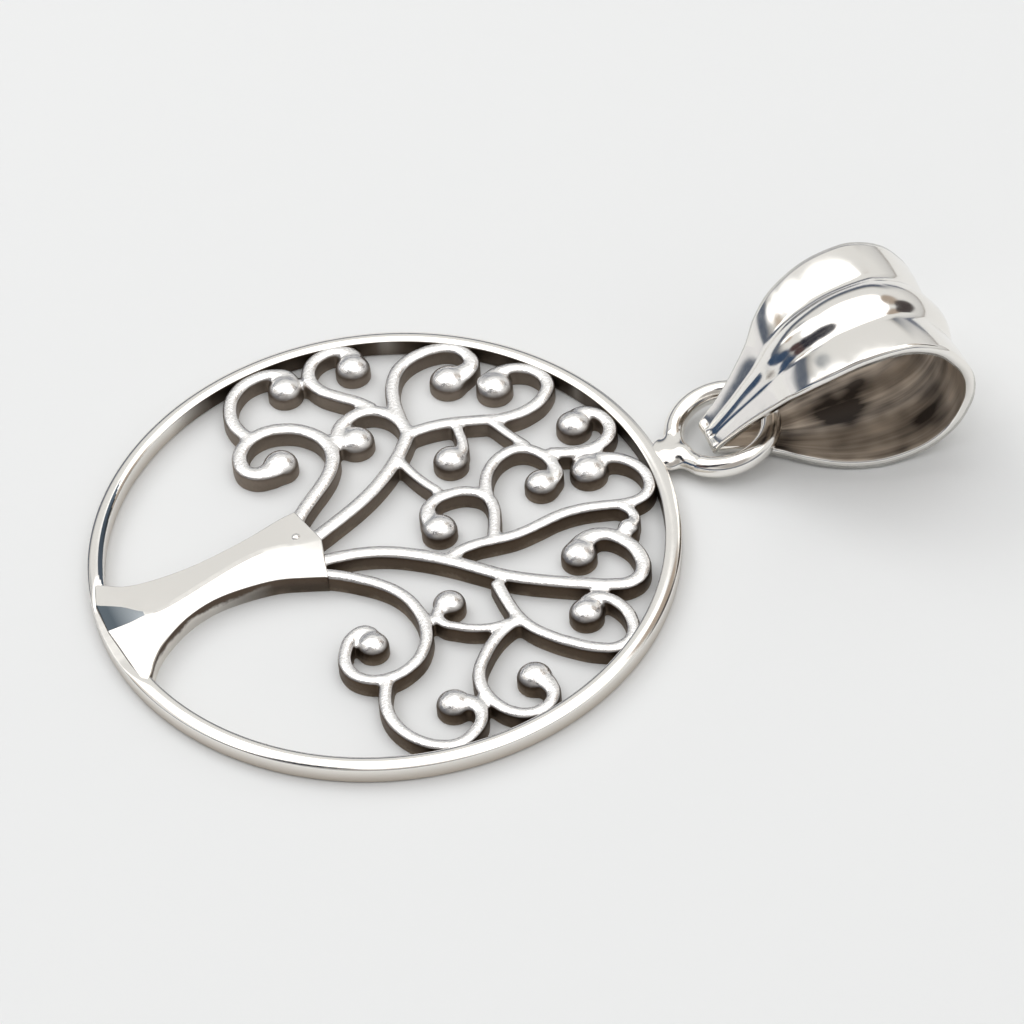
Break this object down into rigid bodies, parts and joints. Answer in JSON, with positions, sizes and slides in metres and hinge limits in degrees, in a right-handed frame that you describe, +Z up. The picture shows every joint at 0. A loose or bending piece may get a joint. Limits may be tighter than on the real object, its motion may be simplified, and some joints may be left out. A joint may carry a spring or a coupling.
{
  "type": "tree of life pendant",
  "caption": "Round pierced pendant with a scrolled tree whose trunk widens into the rim, a soldered jump ring and a three-lobed folded sheet bail, lying on its back.",
  "frame": {"origin": "middle of the whole, on the surface that it lies on", "axes": "+X from the trunk's foot through the jump ring to the bail, +Z up, away from the surface, +Y across the disc"},
  "size_m": [0.0369, 0.0242, 0.007],
  "materials": {
    "cast_silver": "cast sterling silver, polished on rim and trunk, darkened by oxidising between the branches",
    "sheet_silver": "pressed sterling silver sheet, mirror polished outside, tarnished inside"
  },
  "bodies": {
    "root": {"tree_disc": "cast_silver", "bail": "sheet_silver"}
  },
  "joints": []
}
